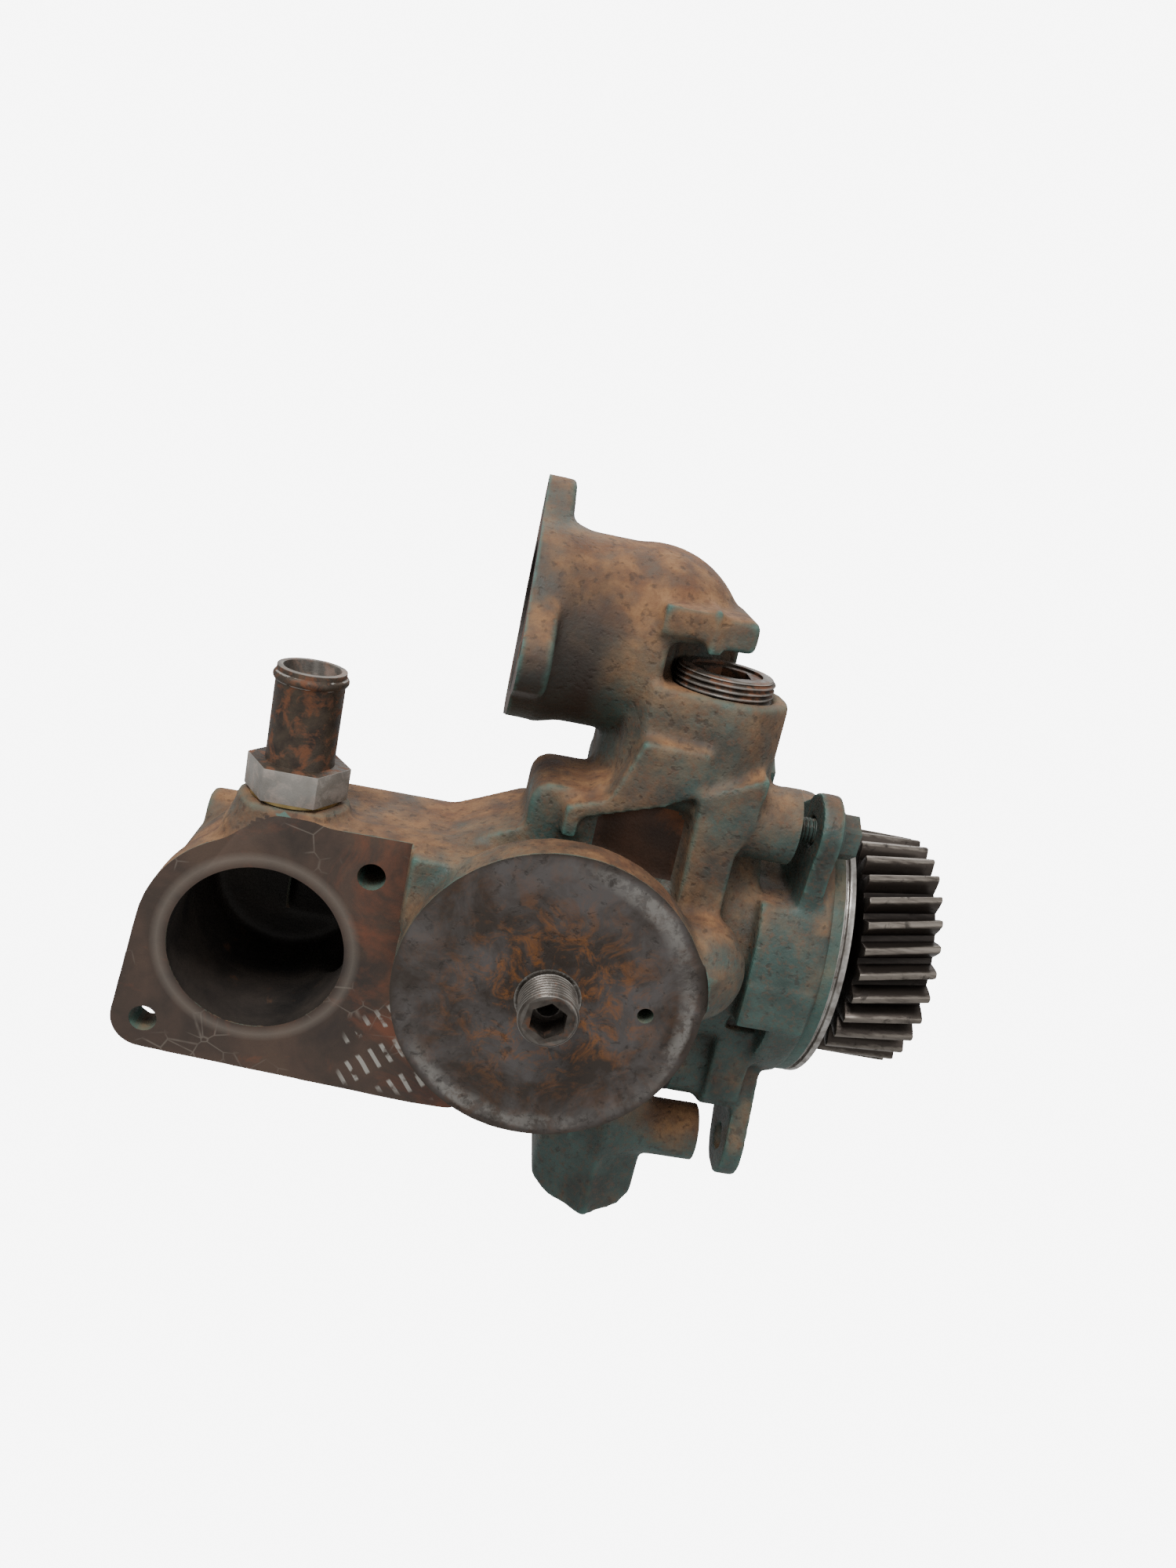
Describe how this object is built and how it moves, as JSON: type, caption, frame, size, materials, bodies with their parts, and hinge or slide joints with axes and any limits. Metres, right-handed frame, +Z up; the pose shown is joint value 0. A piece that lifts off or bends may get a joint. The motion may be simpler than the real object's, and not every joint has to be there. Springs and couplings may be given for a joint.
{
  "type": "engine water pump",
  "caption": "Gear-driven engine water pump with a flanged inlet, an elbow outlet, a filter head, a hose nipple, a round register with ears and a helical drive gear.",
  "frame": {"origin": "on the shaft axis, where the register starts (the plane that faces the engine's bore)", "axes": "+X along the shaft towards the drive gear, +Z up towards the outlet, -Y towards the inlet, filter head and stud"},
  "size_m": [0.2615, 0.138, 0.2388],
  "materials": {
    "casting": "worn paint over cast iron",
    "dark_steel": "dull, oxidised",
    "steel": "turned",
    "painted_steel": "worn paint",
    "iron": "as cast",
    "brass": "dull",
    "gasket": "matte",
    "rubber": "matte",
    "ceramic": "lapped",
    "carbon": "lapped"
  },
  "bodies": {
    "housing": {"pump_housing": "casting", "bearing_housing": "casting", "housing_gasket": "gasket", "cover_bolts": "dark_steel", "cover_washers": "steel", "ear_bolt": "dark_steel", "locating_dowels": "steel", "seal_face": "carbon", "seal_bellows": "rubber", "seal_cup": "brass", "oil_seal": "rubber", "front_bearing_outer": "steel", "rear_bearing_outer": "steel", "outer_spacer": "steel", "circlip": "dark_steel", "filter_stud": "dark_steel", "hose_nipple": "painted_steel", "nipple_washer": "brass", "top_plug": "dark_steel", "core_plug": "steel"},
    "rotor": {"pump_shaft": "steel", "drive_gear": "dark_steel", "gear_key": "steel", "gear_washer": "steel", "gear_nut": "dark_steel", "impeller": "iron", "seal_seat": "ceramic", "front_bearing_inner": "steel", "rear_bearing_inner": "steel", "inner_spacer": "steel"},
    "front_cage": {"front_bearing_balls": "steel", "front_bearing_cage": "brass"},
    "rear_cage": {"rear_bearing_balls": "steel", "rear_bearing_cage": "brass"}
  },
  "joints": [
    {"name": "shaft_spin", "type": "hinge", "parent": "housing", "child": "rotor", "pos_m": [0, 0, 0], "axis": [1, 0, 0], "continuous": true},
    {"name": "front_cage_spin", "type": "hinge", "parent": "housing", "child": "front_cage", "pos_m": [0, 0, 0], "axis": [1, 0, 0], "continuous": true},
    {"name": "rear_cage_spin", "type": "hinge", "parent": "housing", "child": "rear_cage", "pos_m": [0, 0, 0], "axis": [1, 0, 0], "continuous": true}
  ],
  "couplings": [
    {"joint": "front_cage_spin", "follows": "shaft_spin", "ratio": 0.4083},
    {"joint": "rear_cage_spin", "follows": "shaft_spin", "ratio": 0.4083}
  ]
}
